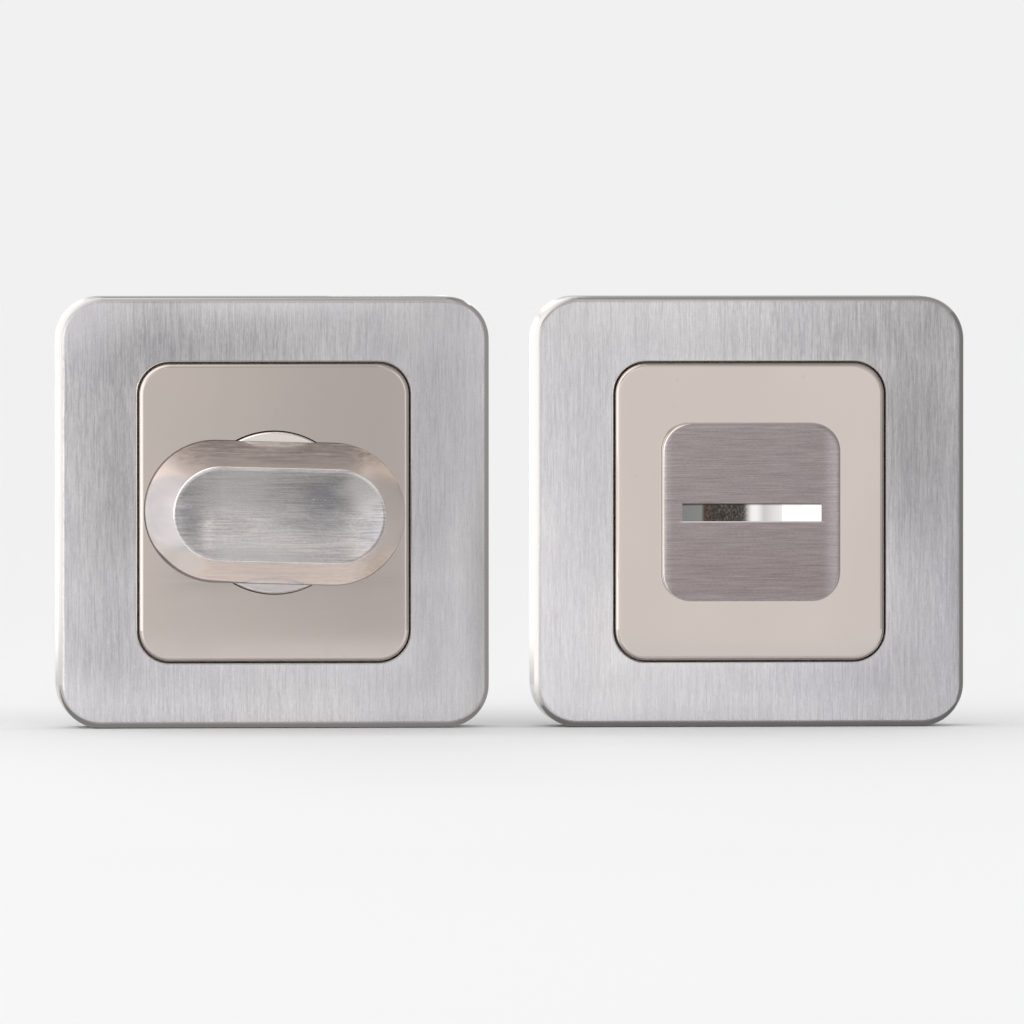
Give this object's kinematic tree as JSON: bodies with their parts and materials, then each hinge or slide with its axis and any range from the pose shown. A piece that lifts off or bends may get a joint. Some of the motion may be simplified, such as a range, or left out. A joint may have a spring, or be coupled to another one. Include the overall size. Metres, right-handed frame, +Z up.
{
  "type": "bathroom thumb turn lock",
  "caption": "Square-rose bathroom door lock: a dished racetrack thumb turn with its spindle for the inside, and a coin-slot release button on a matching rose for the outside.",
  "frame": {"origin": "spindle axis of the thumb turn, on the door face", "axes": "+Y into the door along the spindle, +Z up the door, +X from the thumb turn to the release half"},
  "size_m": [0.1095, 0.0742, 0.052],
  "materials": {
    "satin_cover": "satin nickel, brushed upright",
    "polished_plate": "polished nickel",
    "turn_metal": "polished nickel flanks with a brushed dished face",
    "button_metal": "satin nickel, brushed across",
    "casting": "zinc alloy as cast, fine matt grain",
    "plated_steel": "bright zinc plate",
    "spring_steel": "dark oiled spring steel",
    "nylon": "natural white nylon"
  },
  "bodies": {
    "roses": {"turn_base": "casting", "release_base": "casting", "turn_frame": "satin_cover", "release_frame": "satin_cover", "turn_insert": "polished_plate", "release_insert": "polished_plate", "turn_bush": "nylon", "release_bush": "nylon", "turn_cover_clips": "spring_steel", "release_cover_clips": "spring_steel", "through_bolts": "plated_steel", "turn_wood_screws": "plated_steel", "release_wood_screws": "plated_steel"},
    "turn": {"thumb_turn": "turn_metal", "turn_washer": "plated_steel", "turn_circlip": "spring_steel", "spindle": "plated_steel"},
    "release": {"release_button": "button_metal", "release_washer": "plated_steel", "release_circlip": "spring_steel"}
  },
  "joints": [
    {"name": "thumb_turn_quarter", "type": "hinge", "parent": "roses", "child": "turn", "pos_m": [0, 0, 0], "axis": [0, 1, 0], "range_deg": [-1.5, 88.5]},
    {"name": "release_quarter", "type": "hinge", "parent": "roses", "child": "release", "pos_m": [0.0575, 0, 0], "axis": [0, -1, 0], "range_deg": [0, 90]}
  ]
}
